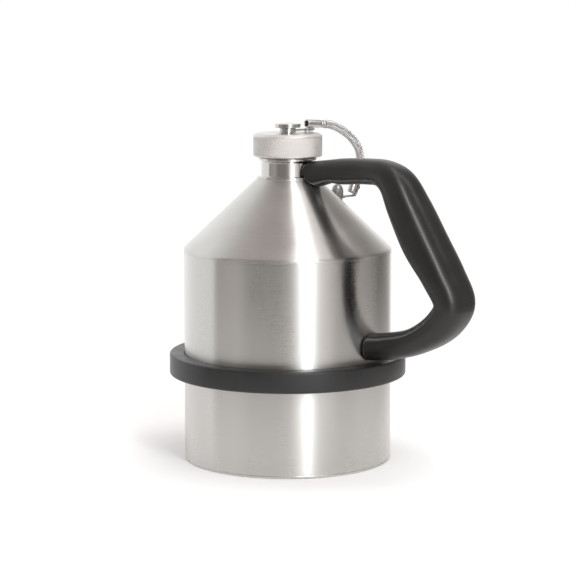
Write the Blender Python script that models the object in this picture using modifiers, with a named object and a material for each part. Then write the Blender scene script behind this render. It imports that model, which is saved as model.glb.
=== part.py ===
"""Stainless-steel growler: a conical-shouldered jug with a loop handle, a bumper ring, and a
screw cap that carries a relief valve and hangs on a braided lanyard.

Frame: +Z up along the jug's axis, origin at the centre of its flat base, handle towards +X.
Everything is written in millimetres and scaled to metres by MM.
"""
from math import atan2, cos, pi, radians, sin, tau

import bmesh
import bpy
import numpy as np
from mathutils import Matrix, Vector

MM = 0.001
GAP = 0.3                      # clearance left between touching pieces
WELD = 1e-5                    # merge distance, metres

# ---- vessel ----
BODY_R = 65.0
SHEET = 0.8
BASE_TOP = 1.2
BASE_EDGE_R = 1.1
BODY_TOP = 131.5
SHOULDER_Z = 133.3             # where the cone meets the cylinder's line
CONE_TOP_R = 18.9
CONE_TOP_Z = 177.2
CONE_SLOPE = (CONE_TOP_Z - SHOULDER_Z) / (BODY_R - CONE_TOP_R)

# ---- neck ----
NECK_R = 16.65
BORE_R = 14.6
COLLAR_Z = (177.6, 178.7)
FLANGE_R = 18.2
FLANGE_Z = (187.4, 188.6, 190.0)
RIM_Z = 200.6
SPIGOT_R = 17.9
SPIGOT_Z = 174.5

# ---- screw thread, neck and cap ----
PITCH = 3.0
THREAD_TURNS = 2
THREAD_START = 193.2
THREAD_CORE_R = 16.6
NECK_CREST_R = 17.8
CAP_INNER_R = 18.3
CAP_CREST_R = 17.0
THREAD_ROOT_W = 1.3
THREAD_CREST_W = 0.6

# ---- cap ----
CAP_R = 21.6
CAP_Z = (190.5, 205.0)
CAP_TOP_CHAMFER = 1.7
CAP_FOOT_CHAMFER = 0.9
CEILING_Z = 202.9
CAP_HOLE_R = 3.2
GASKET_R = (13.2, 17.9)

# ---- relief valve ----
BUSH_R = 2.9
BUSH_BORE_R = 1.9
BUSH_FLANGE_R = 5.2
BUSH_Z = (200.6, 208.2)
STEM_R = 1.5
STEM_FOOT_Z = 190.8
HEAD_R = 8.1
HEAD_Z = (208.5, 211.0)
SEAL_MID_R = 2.4
SEAL_SECTION_R = 0.44
SPRING_R = 3.0
SPRING_WIRE = 0.4
SPRING_COILS = 4
SPRING_Z = (193.9, 199.9)
NUT_Z = (191.4, 193.2)

# ---- bumper ring ----
RING_R = (65.3, 74.4)
RING_Z = (54.2, 67.5)
RING_EDGE = 1.1

# ---- handle: centre line x and z, half thickness in its plane, half width across it ----
HANDLE = (
    (12.0, 180.2, 7.6, 7.2),
    (22.5, 180.8, 8.0, 7.5),
    (33.0, 182.7, 7.4, 7.7),
    (43.0, 183.4, 8.0, 8.2),
    (61.5, 184.4, 7.9, 9.2),
    (73.7, 183.7, 8.2, 10.8),
    (82.9, 178.4, 9.9, 12.6),
    (91.6, 164.4, 11.4, 14.6),
    (103.6, 143.5, 12.2, 15.5),
    (116.9, 124.2, 10.7, 15.5),
    (124.6, 108.6, 10.0, 14.8),
    (117.4, 96.4, 10.0, 13.7),
    (98.5, 84.4, 8.5, 12.0),
    (78.0, 78.8, 8.3, 10.6),
    (58.0, 76.4, 8.2, 10.0),
)
HANDLE_SQUARENESS = 2.5
NECK_CUT_R = 17.1
COLLAR_CUT = (19.22, 179.75)
FLANGE_CUT = (18.7, 187.0)
BODY_CUT_R = 65.5
FACET_TURN = radians(1.1)      # keeps a cutter's facet corners off the handle's own
UPPER_TANG = dict(x=(17.8, 41.0), half_y=3.8, z=(180.6, 183.4), screw_x=36.0, head_z=176.0)
LOWER_TANG = dict(x=(66.0, 88.0), half_y=4.8, z=(77.2, 80.2), screw_x=80.0, head_z=71.6)
UPPER_SADDLE = dict(r=(16.95, 19.0), z=(180.0, 185.4), half_y=4.6)
LOWER_SADDLE = dict(r=(65.3, 66.7), z=(71.0, 83.0), half_y=7.2)
SCREW_R = 1.9
SCREW_HEAD_R = 3.3
SCREW_HEAD_H = 2.7

# ---- lanyard, in the upright plane through the jug's axis at this angle from the handle ----
LANYARD_ANGLE = radians(76.5)
HOSE_D = 5.2
FERRULE_R = 2.65
FERRULE_BORE_R = 1.9
FERRULE_BORE = 6.5
FERRULE_L = 14.3
UPPER_FERRULE = ((15.1, 210.3), (29.4, 209.4))
LOWER_FERRULE = ((52.2, 164.8), (57.8, 178.0))
HOSE_ROUTE = ((29.9, 209.37), (33.0, 209.1), (37.5, 207.9), (42.5, 205.9), (47.5, 203.2), (52.0, 200.0),
              (55.7, 196.3), (58.4, 192.2), (59.6, 188.2), (59.7, 184.4), (59.0, 181.1), (58.0, 178.47))
EYE_R = (3.2, 5.0)
EYE_Z = (205.4, 208.2)
STRIP_W = 3.6
STRIP_T = 1.0
STRIP_END_R = 20.4
RIVET_R = 1.0
RIVET_HEAD_R = 1.8

# ---- lanyard anchor on the cone ----
ANCHOR_R = 40.8
ANCHOR_BOSS_R = 3.3
ANCHOR_TOP = 161.7
STUD_R = 2.0
STUD_TOP = 168.6
RING_TERMINAL_R = (2.4, 5.0)
RING_TERMINAL_Z = (162.0, 163.0)
DOME_NUT_R = 4.0
DOME_NUT_Z = (163.3, 167.4, 170.8)

STEEL = ((0.62, 0.60, 0.58), 0.30, 1.0)
POLISHED = ((0.70, 0.68, 0.66), 0.18, 1.0)
SATIN = ((0.66, 0.65, 0.63), 0.42, 1.0)
BRAID = ((0.60, 0.59, 0.57), 0.35, 1.0)
BLACK_PLASTIC = ((0.030, 0.029, 0.028), 0.42, 0.0)
BLACK_RUBBER = ((0.040, 0.040, 0.041), 0.50, 0.0)
SEAL_WHITE = ((0.75, 0.74, 0.70), 0.55, 0.0)


def clear_scene():
    for obj in list(bpy.data.objects):
        bpy.data.objects.remove(obj, do_unlink=True)


def new_collection(name):
    group = bpy.data.collections.new(name)
    bpy.context.scene.collection.children.link(group)
    return group


clear_scene()
PARTS = new_collection("growler")
CUTTERS = new_collection("growler_cutters")


def material(name, finish):
    colour, roughness, metallic = finish
    mat = bpy.data.materials.new(name)
    mat.use_nodes = True
    shader = mat.node_tree.nodes["Principled BSDF"]
    shader.inputs["Base Color"].default_value = (*colour, 1.0)
    shader.inputs["Roughness"].default_value = roughness
    shader.inputs["Metallic"].default_value = metallic
    mat.diffuse_color = (*colour, 1.0)
    return mat


def new_object(name, mesh, finish=None, smooth_angle=35):
    """Link a mesh as a part, or as a cutter when it has no finish."""
    obj = bpy.data.objects.new(name, mesh)
    if finish is None:
        CUTTERS.objects.link(obj)
        obj.hide_render = True
        obj.display_type = "WIRE"
        return obj
    PARTS.objects.link(obj)
    mesh.materials.append(material(name, finish))
    if smooth_angle:
        mesh.shade_smooth()
        mesh.set_sharp_from_angle(angle=radians(smooth_angle))
    return obj


def turned(name, profile, steps, finish=None, closed=True, place=None):
    """A profile of (radius, height) points turned about Z. It runs down the outer side first."""
    mesh = bpy.data.meshes.new(name)
    points = [(r * MM, 0.0, z * MM) for r, z in profile]
    edges = [(i, i + 1) for i in range(len(points) - 1)]
    if closed:
        edges.append((len(points) - 1, 0))
    mesh.from_pydata(points, edges, [])
    obj = new_object(name, mesh, finish, smooth_angle=0)
    screw = obj.modifiers.new("turn", "SCREW")
    screw.axis = "Z"
    screw.angle = tau
    screw.steps = steps
    screw.render_steps = steps
    screw.use_merge_vertices = True
    screw.merge_threshold = WELD
    screw.use_smooth_shade = True
    if place is not None:
        obj.matrix_world = place
    return obj


def cylinder(name, radius, z_low, z_high, steps, finish=None, place=None):
    profile = [(0, z_high), (radius, z_high), (radius, z_low), (0, z_low)]
    return turned(name, profile, steps, finish, closed=False, place=place)


def tube(name, r_in, r_out, z_low, z_high, steps, finish=None, place=None):
    profile = [(r_out, z_high), (r_out, z_low), (r_in, z_low), (r_in, z_high)]
    return turned(name, profile, steps, finish, place=place)


def box(name, x, y, z, finish=None, place=None):
    mesh = bpy.data.meshes.new(name)
    shape = bmesh.new()
    bmesh.ops.create_cube(shape, size=1.0)
    size = Vector((x[1] - x[0], y[1] - y[0], z[1] - z[0])) * MM
    middle = Vector((x[0] + x[1], y[0] + y[1], z[0] + z[1])) * MM / 2
    bmesh.ops.scale(shape, vec=size, verts=shape.verts)
    bmesh.ops.translate(shape, vec=middle, verts=shape.verts)
    shape.to_mesh(mesh)
    shape.free()
    obj = new_object(name, mesh, finish)
    if place is not None:
        obj.matrix_world = place
    return obj


def loft(name, sections, finish=None, smooth_angle=35, place=None):
    """Join equal rings of points into one closed skin with a cap at each end."""
    count = len(sections[0])
    points = [Vector(p) * MM for ring in sections for p in ring]
    faces = []
    for s in range(len(sections) - 1):
        for i in range(count):
            a = s * count + i
            b = s * count + (i + 1) % count
            faces.append((a, b, b + count, a + count))
    faces.append(tuple(reversed(range(count))))
    faces.append(tuple(range((len(sections) - 1) * count, len(sections) * count)))
    mesh = bpy.data.meshes.new(name)
    mesh.from_pydata(points, [], faces)
    shape = bmesh.new()
    shape.from_mesh(mesh)
    bmesh.ops.recalc_face_normals(shape, faces=shape.faces)
    shape.to_mesh(mesh)
    shape.free()
    obj = new_object(name, mesh, finish, smooth_angle)
    if place is not None:
        obj.matrix_world = place
    return obj


def combine(obj, other, operation):
    step = obj.modifiers.new(operation.lower() + "_" + other.name, "BOOLEAN")
    step.object = other
    step.operation = operation
    step.solver = "EXACT"


def cut(obj, *cutters):
    for cutter in cutters:
        combine(obj, cutter, "DIFFERENCE")


def arc(centre, radius, start, end, count):
    """Points of an arc in the profile's plane, angles in degrees from the outward direction."""
    angles = np.radians(np.linspace(start, end, count))
    return [(centre[0] + radius * cos(a), centre[1] + radius * sin(a)) for a in angles]


def smooth_path(points, per_span):
    """Centripetal Catmull-Rom curve through hand-chosen points of any dimension."""
    pts = np.array(points, dtype=float)
    pts = np.vstack([2 * pts[0] - pts[1], pts, 2 * pts[-1] - pts[-2]])
    path = []
    for k in range(1, len(pts) - 2):
        p = pts[k - 1:k + 3]
        knots = [0.0]
        for i in range(3):
            knots.append(knots[-1] + np.linalg.norm(p[i + 1] - p[i]) ** 0.5)
        for t in np.linspace(knots[1], knots[2], per_span, endpoint=False):
            level = [p[i] for i in range(4)]
            for order in (1, 2, 3):
                level = [
                    _blend(level[i], level[i + 1], knots, i, order, t)
                    for i in range(4 - order)
                ]
            path.append(level[0])
    path.append(pts[-2])
    return np.array(path)


def _blend(low, high, knots, i, order, t):
    """One step of the Catmull-Rom pyramid; its last level spans the middle knots only."""
    start, end = (knots[1], knots[2]) if order == 3 else (knots[i], knots[i + order])
    return low * (end - t) / (end - start) + high * (t - start) / (end - start)


def in_lanyard_plane(r, z, across=0.0):
    c, s = cos(LANYARD_ANGLE), sin(LANYARD_ANGLE)
    return Vector((r * c - across * s, r * s + across * c, z))


LANYARD_TURN = Matrix.Rotation(LANYARD_ANGLE, 4, "Z")


def along(start, end):
    """Placement whose Z runs from one (r, z) point of the lanyard plane to another."""
    lean = atan2(end[0] - start[0], end[1] - start[1])
    shift = Matrix.Translation(Vector((start[0] * MM, 0.0, start[1] * MM)))
    return LANYARD_TURN @ shift @ Matrix.Rotation(lean, 4, "Y")


# ---------------------------------------------------------------- vessel

def make_base_plate():
    corner = arc((BODY_R - BASE_EDGE_R, BASE_EDGE_R), BASE_EDGE_R, 0, -90, 3)
    profile = [(0, BASE_TOP), (BODY_R, BASE_TOP)] + corner + [(0, 0)]
    turned("base_plate", profile, 72, STEEL, closed=False)


def make_body_shell():
    tube("body_shell", BODY_R - SHEET, BODY_R, BASE_TOP + GAP, BODY_TOP, 72, STEEL)


def cone_z(r):
    return CONE_TOP_Z - (r - CONE_TOP_R) * CONE_SLOPE


def cone_relief(name, clearance):
    """Cutter that keeps a piece off the cone, by this much square to its surface."""
    rise = clearance * (1 + CONE_SLOPE ** 2) ** 0.5
    wide = 64.0
    floor = cone_z(wide) - 20
    shape = [(0, cone_z(0) + rise), (wide, cone_z(wide) + rise), (wide, floor), (0, floor)]
    return turned(name, shape, 96, closed=False)


def make_shoulder_cone():
    lip = BODY_TOP + GAP
    bend = 1.2
    inner_r = BODY_R - SHEET
    drop = SHEET * (1 + CONE_SLOPE ** 2) ** 0.5
    hole_r = CONE_TOP_R - 0.3
    profile = [
        (hole_r, cone_z(hole_r)),
        (BODY_R - bend, cone_z(BODY_R - bend)),
        (BODY_R - bend * 0.3, SHOULDER_Z + bend * 0.1),
        (BODY_R, SHOULDER_Z - bend),
        (BODY_R, lip),
        (inner_r, lip),
        (inner_r, SHOULDER_Z - bend * 1.3),
        (hole_r, cone_z(hole_r) - drop),
    ]
    turned("shoulder_cone", profile, 72, STEEL)


def helix(name, r_root, r_crest, z_start, finish=None):
    """One right-handed thread ridge; both its ends fade back into the wall it stands on."""
    per_turn = 24
    fade = 4
    steps = per_turn * THREAD_TURNS
    inward = r_crest < r_root
    root = r_root + (0.4 if inward else -0.4)
    sections = []
    for k in range(steps + 1):
        rise = min(1.0, min(k, steps - k) / fade)
        crest = root + (r_crest - root) * (0.2 + 0.8 * rise)
        angle = tau * k / per_turn
        z = z_start + PITCH * k / per_turn
        shape = [(root, THREAD_ROOT_W / 2), (crest, THREAD_CREST_W / 2),
                 (crest, -THREAD_CREST_W / 2), (root, -THREAD_ROOT_W / 2)]
        sections.append([(r * cos(angle), r * sin(angle), z + dz) for r, dz in shape])
    return loft(name, sections, finish)


def make_neck_spigot():
    profile = [
        (THREAD_CORE_R - 0.5, RIM_Z),
        (THREAD_CORE_R, RIM_Z - 0.5),
        (THREAD_CORE_R, FLANGE_Z[2]),
        (FLANGE_R - 0.3, FLANGE_Z[2]),
        (FLANGE_R, FLANGE_Z[2] - 0.3),
        (FLANGE_R, FLANGE_Z[1]),
        (NECK_R, FLANGE_Z[0]),
        (NECK_R, COLLAR_Z[1] + 0.5),
        (NECK_R + 0.6, COLLAR_Z[1]),
        (CONE_TOP_R - 0.5, COLLAR_Z[1]),
        (CONE_TOP_R, COLLAR_Z[1] - 0.5),
        (CONE_TOP_R, COLLAR_Z[0]),
        (SPIGOT_R, COLLAR_Z[0]),
        (SPIGOT_R, SPIGOT_Z),
        (BORE_R, SPIGOT_Z),
        (BORE_R, RIM_Z),
    ]
    neck = turned("neck_spigot", profile, 44, POLISHED)
    combine(neck, helix("neck_thread", THREAD_CORE_R, NECK_CREST_R, THREAD_START), "UNION")


def make_bumper_ring():
    (r_in, r_out), (low, high) = RING_R, RING_Z
    profile = (
        arc((r_out - RING_EDGE, high - RING_EDGE), RING_EDGE, 90, 0, 3)
        + arc((r_out - RING_EDGE, low + RING_EDGE), RING_EDGE, 0, -90, 3)
        + [(r_in, low), (r_in, high)]
    )
    turned("bumper_ring", profile, 72, BLACK_RUBBER)


# ---------------------------------------------------------------- handle

def handle_sections():
    path = smooth_path(HANDLE, 4)
    around = np.linspace(0, tau, 18, endpoint=False)
    power = 2 / HANDLE_SQUARENESS
    sections = []
    for k, (x, z, thick, wide) in enumerate(path):
        ahead = path[min(k + 1, len(path) - 1)]
        behind = path[max(k - 1, 0)]
        tangent = Vector((ahead[0] - behind[0], 0, ahead[1] - behind[1])).normalized()
        normal = Vector((-tangent.z, 0, tangent.x))
        ring = []
        for a in around:
            u = thick * abs(cos(a)) ** power * (1 if cos(a) >= 0 else -1)
            v = wide * abs(sin(a)) ** power * (1 if sin(a) >= 0 else -1)
            ring.append(Vector((x, v, z)) + normal * u)
        sections.append(ring)
    return sections


def tang_slot(name, tang):
    x, z, half_y = tang["x"], tang["z"], tang["half_y"] + GAP
    return box(name, (x[0] - 6, x[1] + GAP), (-half_y, half_y), (z[0] - GAP, z[1] + GAP))


def saddle_pocket(name, saddle):
    """Recess in the handle's end that houses a bracket's saddle, inside the rim that meets the vessel."""
    r_out, half_y, z = saddle["r"][1] + GAP, saddle["half_y"] + GAP, saddle["z"]
    return box(name, (saddle["r"][0] - 8, r_out), (-half_y, half_y), (z[0] - GAP, z[1] + GAP))


def screw_well(name, tang):
    """Stepped hole from the handle's underside up to its tang slot."""
    seat = tang["head_z"] + SCREW_HEAD_H + GAP
    wide, narrow = SCREW_HEAD_R + GAP, SCREW_R + GAP
    profile = [(0, tang["z"][0] + 0.5), (narrow, tang["z"][0] + 0.5), (narrow, seat),
               (wide, seat), (wide, tang["head_z"] - 14), (0, tang["head_z"] - 14)]
    place = Matrix.Translation(Vector((tang["screw_x"] * MM, 0, 0)))
    return turned(name, profile, 20, closed=False, place=place)


def make_handle():
    handle = loft("handle_grip", handle_sections(), BLACK_PLASTIC, smooth_angle=50)
    cut(
        handle,
        cylinder("neck_relief", NECK_CUT_R, 165, 200, 64),
        cylinder("collar_relief", COLLAR_CUT[0], 165, COLLAR_CUT[1], 64),
        cylinder("flange_relief", FLANGE_CUT[0], FLANGE_CUT[1], 200, 64),
        cylinder("body_relief", BODY_CUT_R, 55, 100, 96, place=Matrix.Rotation(FACET_TURN, 4, "Z")),
        cone_relief("handle_cone_relief", 0.5),
        saddle_pocket("upper_pocket", UPPER_SADDLE),
        saddle_pocket("lower_pocket", LOWER_SADDLE),
        tang_slot("upper_slot", UPPER_TANG),
        tang_slot("lower_slot", LOWER_TANG),
        screw_well("upper_well", UPPER_TANG),
        screw_well("lower_well", LOWER_TANG),
    )


def make_bracket(name, saddle, tang, steps):
    """Curved saddle welded to the vessel, with a tang that reaches into the handle."""
    (r_in, r_out), z, half_y = saddle["r"], saddle["z"], saddle["half_y"]
    bracket = tube(name, r_in, r_out, z[0], z[1], steps, STEEL)
    window = box(name + "_window", (r_in * 0.5, r_out + 1), (-half_y, half_y), (z[0] - 1, z[1] + 1))
    combine(bracket, window, "INTERSECT")
    blade = box(name + "_blade", tang["x"], (-tang["half_y"], tang["half_y"]), tang["z"])
    combine(bracket, blade, "UNION")
    place = Matrix.Translation(Vector((tang["screw_x"] * MM, 0, 0)))
    hole = cylinder(name + "_hole", SCREW_R + GAP, tang["z"][0] - 3, tang["z"][1] + 3, 20, place=place)
    cut(bracket, hole)


def make_handle_screw(name, tang):
    """Socket-head screw driven upwards through the handle into the tang."""
    low = tang["head_z"]
    seat = low + SCREW_HEAD_H
    tip = tang["z"][1] - 0.2
    profile = [(0, tip), (SCREW_R - 0.3, tip), (SCREW_R, tip - 0.4), (SCREW_R, seat),
               (SCREW_HEAD_R, seat), (SCREW_HEAD_R, low + 0.3), (SCREW_HEAD_R - 0.3, low), (0, low)]
    place = Matrix.Translation(Vector((tang["screw_x"] * MM, 0, 0)))
    screw = turned(name, profile, 20, STEEL, closed=False, place=place)
    socket = cylinder(name + "_socket", 1.5, low - 1, low + 1.6, 6, place=place)
    cut(screw, socket)


# ---------------------------------------------------------------- cap and relief valve

def make_cap_shell():
    low, high = CAP_Z
    profile = [
        (CAP_HOLE_R, high),
        (CAP_R - CAP_TOP_CHAMFER, high),
        (CAP_R, high - CAP_TOP_CHAMFER),
        (CAP_R, low + CAP_FOOT_CHAMFER),
        (CAP_R - CAP_FOOT_CHAMFER, low),
        (CAP_INNER_R + 0.6, low),
        (CAP_INNER_R, low + 0.6),
        (CAP_INNER_R, CEILING_Z),
        (CAP_HOLE_R, CEILING_Z),
    ]
    cap = turned("cap_shell", profile, 48, SATIN)
    start = THREAD_START - PITCH / 2
    combine(cap, helix("cap_thread", CAP_INNER_R, CAP_CREST_R, start), "UNION")


def make_cap_gasket():
    tube("cap_gasket", GASKET_R[0], GASKET_R[1], RIM_Z + GAP, CEILING_Z - GAP, 48, SEAL_WHITE)


def make_valve_bush():
    low, high = BUSH_Z
    flange_top = CEILING_Z - GAP
    profile = [
        (BUSH_R - 0.2, high), (BUSH_R, high - 0.2), (BUSH_R, flange_top),
        (BUSH_FLANGE_R, flange_top), (BUSH_FLANGE_R, low), (BUSH_BORE_R, low), (BUSH_BORE_R, high),
    ]
    turned("valve_bush", profile, 24, STEEL)


def make_valve_stem():
    low, high = HEAD_Z
    groove_r = SEAL_MID_R - SEAL_SECTION_R - 0.3, SEAL_MID_R + SEAL_SECTION_R + 0.3
    groove_top = low + 2 * SEAL_SECTION_R + GAP
    profile = [
        (0, high), (HEAD_R - 0.6, high), (HEAD_R, high - 0.5), (HEAD_R, low + 0.3), (HEAD_R - 0.3, low),
        (groove_r[1], low), (groove_r[1], groove_top), (groove_r[0], groove_top), (groove_r[0], low),
        (STEM_R, low - 0.1), (STEM_R, STEM_FOOT_Z + 0.3), (STEM_R - 0.3, STEM_FOOT_Z), (0, STEM_FOOT_Z),
    ]
    turned("valve_stem", profile, 24, STEEL, closed=False)


def make_valve_seal():
    centre = (SEAL_MID_R, HEAD_Z[0] + SEAL_SECTION_R)
    section = arc(centre, SEAL_SECTION_R, 90, -225, 8)
    turned("valve_seal", section, 24, BLACK_RUBBER)


def make_spring_nut():
    nut = cylinder("spring_nut", 3.9, NUT_Z[0], NUT_Z[1], 6, STEEL)
    cut(nut, cylinder("spring_nut_hole", STEM_R + GAP, NUT_Z[0] - 1, NUT_Z[1] + 1, 20))


def make_valve_spring():
    per_turn = 14
    count = per_turn * SPRING_COILS
    low, high = SPRING_Z
    curve = bpy.data.curves.new("valve_spring", "CURVE")
    curve.dimensions = "3D"
    curve.bevel_depth = SPRING_WIRE * MM
    curve.bevel_resolution = 1
    curve.use_fill_caps = True
    curve.render_resolution_u = 0
    spline = curve.splines.new("POLY")
    spline.points.add(count)
    for k in range(count + 1):
        angle = tau * k / per_turn
        z = low + (high - low) * k / count
        spline.points[k].co = (SPRING_R * cos(angle) * MM, SPRING_R * sin(angle) * MM, z * MM, 1)
    curve.materials.append(material("valve_spring", STEEL))
    PARTS.objects.link(bpy.data.objects.new("valve_spring", curve))


# ---------------------------------------------------------------- lanyard

def strip_sections(path):
    """Rectangular sections of the terminal strip along (r, z) points of the lanyard plane."""
    sections = []
    for k, (r, z) in enumerate(path):
        ahead = path[min(k + 1, len(path) - 1)]
        behind = path[max(k - 1, 0)]
        tangent = Vector((ahead[0] - behind[0], ahead[1] - behind[1])).normalized()
        n = Vector((-tangent.y, tangent.x)) * STRIP_T / 2
        half = STRIP_W / 2
        corners = [(n.x, n.y, half), (n.x, n.y, -half), (-n.x, -n.y, -half), (-n.x, -n.y, half)]
        sections.append([in_lanyard_plane(r + dr, z + dz, w) for dr, dz, w in corners])
    return sections


def make_ferrule(name, ends):
    """Crimped sleeve; its first stretch is open, and the braid butts against its other end."""
    bulge = FERRULE_R - 0.15
    profile = [
        (0, FERRULE_L), (bulge, FERRULE_L), (bulge, 10.2), (FERRULE_R, 9.6), (FERRULE_R, 0.3),
        (FERRULE_R - 0.3, 0), (FERRULE_BORE_R, 0), (FERRULE_BORE_R, FERRULE_BORE), (0, FERRULE_BORE),
    ]
    return turned(name, profile, 20, STEEL, closed=False, place=along(*ends))


def make_rivet(name, place, head_z, tip_z):
    """Tubular rivet drawn along its own Z: outer head at head_z, set head inside the ferrule."""
    profile = [
        (0, tip_z + 0.5), (RIVET_R + 0.3, tip_z + 0.5), (RIVET_R + 0.3, tip_z), (RIVET_R, tip_z),
        (RIVET_R, head_z + 0.5), (RIVET_HEAD_R, head_z + 0.5), (RIVET_HEAD_R - 0.3, head_z), (0, head_z),
    ]
    return turned(name, profile, 16, STEEL, closed=False, place=place)


def rivet_hole(name, place):
    return cylinder(name, RIVET_R + GAP, -6, 2.0, 16, place=place)


def make_upper_end():
    """Eye that turns on the valve bush, its strip, and the ferrule riveted on top of it."""
    strip_z = (EYE_Z[0] + EYE_Z[1]) / 2 - 0.1
    terminal = tube("upper_terminal", *EYE_R, *EYE_Z, 28, STEEL)
    path = [(EYE_R[0] + 0.9, strip_z), (STRIP_END_R, strip_z)]
    combine(terminal, loft("upper_strip", strip_sections(path)), "UNION")
    ferrule = make_ferrule("upper_ferrule", UPPER_FERRULE)
    rivet_r = 18.6
    place = LANYARD_TURN @ Matrix.Translation(Vector((rivet_r * MM, 0, 210.0 * MM)))
    hole = rivet_hole("upper_rivet_hole", place)
    cut(terminal, hole)
    cut(ferrule, hole)
    make_rivet("upper_rivet", place, strip_z - STRIP_T / 2 - 0.8 - 210.0, -1.6)


def make_lower_end():
    """Ring terminal on the anchor stud; its strip bends up and backs the lower ferrule."""
    ring_z = RING_TERMINAL_Z
    strip_z = sum(ring_z) / 2
    start = Vector(LOWER_FERRULE[0])
    run = (Vector(LOWER_FERRULE[1]) - start).normalized()
    side = Vector((run.y, -run.x)) * (FERRULE_R + GAP + STRIP_T / 2)
    riser = [tuple(start + side + run * d) for d in (0.8, 2.2, 9.0)]
    path = [(ANCHOR_R + 3.4, strip_z), (start.x + 1.4, strip_z), (start.x + 2.6, strip_z + 0.3)] + riser
    terminal = tube("lower_terminal", *RING_TERMINAL_R, *ring_z, 28, STEEL, place=anchor_place())
    combine(terminal, loft("lower_strip", strip_sections(path)), "UNION")
    ferrule = make_ferrule("lower_ferrule", LOWER_FERRULE)
    seat = start + run * 4.6
    place = along(tuple(seat), tuple(seat - side))
    hole = rivet_hole("lower_rivet_hole", place)
    cut(terminal, hole)
    cut(ferrule, hole)
    make_rivet("lower_rivet", place, -(FERRULE_R + GAP + STRIP_T + 0.8), -1.6)


def make_braid():
    route = smooth_path([tuple(in_lanyard_plane(r, z)) for r, z in HOSE_ROUTE], 2)
    curve = bpy.data.curves.new("lanyard_braid", "CURVE")
    curve.dimensions = "3D"
    curve.bevel_depth = HOSE_D / 2 * MM
    curve.bevel_resolution = 2
    curve.use_fill_caps = True
    curve.render_resolution_u = 0
    spline = curve.splines.new("POLY")
    spline.points.add(len(route) - 1)
    for point, place in zip(spline.points, route):
        point.co = (*(Vector(place) * MM), 1)
    curve.materials.append(material("lanyard_braid", BRAID))
    PARTS.objects.link(bpy.data.objects.new("lanyard_braid", curve))


# ---------------------------------------------------------------- anchor

def anchor_place():
    return Matrix.Translation(in_lanyard_plane(ANCHOR_R, 0) * MM)


def make_anchor():
    """Stepped stud welded to the cone, and the dome nut that holds the ring terminal on it."""
    foot = cone_z(ANCHOR_R + ANCHOR_BOSS_R) - 3
    profile = [
        (0, STUD_TOP), (STUD_R - 0.3, STUD_TOP), (STUD_R, STUD_TOP - 0.4), (STUD_R, ANCHOR_TOP),
        (ANCHOR_BOSS_R - 0.3, ANCHOR_TOP), (ANCHOR_BOSS_R, ANCHOR_TOP - 0.3),
        (ANCHOR_BOSS_R, foot), (0, foot),
    ]
    boss = turned("anchor_stud", profile, 24, STEEL, closed=False, place=anchor_place())
    cut(boss, cone_relief("anchor_cone_relief", GAP))

    low, waist, top = DOME_NUT_Z
    height = top - waist
    dome = [(DOME_NUT_R * 0.86 * cos(a), waist + height * sin(a)) for a in np.linspace(pi / 2, 0, 7)]
    nut_profile = dome + [(DOME_NUT_R, waist - 0.3), (DOME_NUT_R, low), (0, low)]
    nut = turned("anchor_nut", [(max(r, 0.0), z) for r, z in nut_profile], 24, STEEL, closed=False,
                 place=anchor_place())
    cut(nut, cylinder("anchor_nut_bore", STUD_R + GAP, low - 1, STUD_TOP + GAP, 20, place=anchor_place()))


make_base_plate()
make_body_shell()
make_shoulder_cone()
make_neck_spigot()
make_bumper_ring()
make_handle()
make_bracket("upper_bracket", UPPER_SADDLE, UPPER_TANG, 64)
make_bracket("lower_bracket", LOWER_SADDLE, LOWER_TANG, 96)
make_handle_screw("upper_handle_screw", UPPER_TANG)
make_handle_screw("lower_handle_screw", LOWER_TANG)
make_cap_shell()
make_cap_gasket()
make_valve_bush()
make_valve_stem()
make_valve_seal()
make_spring_nut()
make_valve_spring()
make_upper_end()
make_lower_end()
make_braid()
make_anchor()
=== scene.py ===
"""Looks of the stainless-steel growler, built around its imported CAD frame.

Row frame: +Z up along the jug's axis, origin at the centre of its flat base, handle towards +X.
Shapes are written in millimetres and scaled to metres by MM.
"""

from math import atan2, cos, pi, radians, sin, tau

import bmesh
import bpy
import numpy as np
from mathutils import Matrix, Vector


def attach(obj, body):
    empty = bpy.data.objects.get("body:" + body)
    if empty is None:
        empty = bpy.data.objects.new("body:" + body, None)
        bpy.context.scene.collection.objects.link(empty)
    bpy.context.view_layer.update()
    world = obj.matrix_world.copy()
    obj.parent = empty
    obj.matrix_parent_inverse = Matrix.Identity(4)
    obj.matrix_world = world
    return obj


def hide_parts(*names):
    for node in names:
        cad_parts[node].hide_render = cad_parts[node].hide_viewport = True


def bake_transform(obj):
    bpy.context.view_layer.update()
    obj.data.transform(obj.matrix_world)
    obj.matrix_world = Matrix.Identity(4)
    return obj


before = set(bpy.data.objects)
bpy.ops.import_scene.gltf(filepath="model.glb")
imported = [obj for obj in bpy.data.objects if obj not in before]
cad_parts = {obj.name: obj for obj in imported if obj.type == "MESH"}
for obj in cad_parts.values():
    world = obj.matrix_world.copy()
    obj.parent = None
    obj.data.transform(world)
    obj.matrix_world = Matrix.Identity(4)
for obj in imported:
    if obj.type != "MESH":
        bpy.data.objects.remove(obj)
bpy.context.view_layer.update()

MM = 0.001
ROOT = "root"

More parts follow.
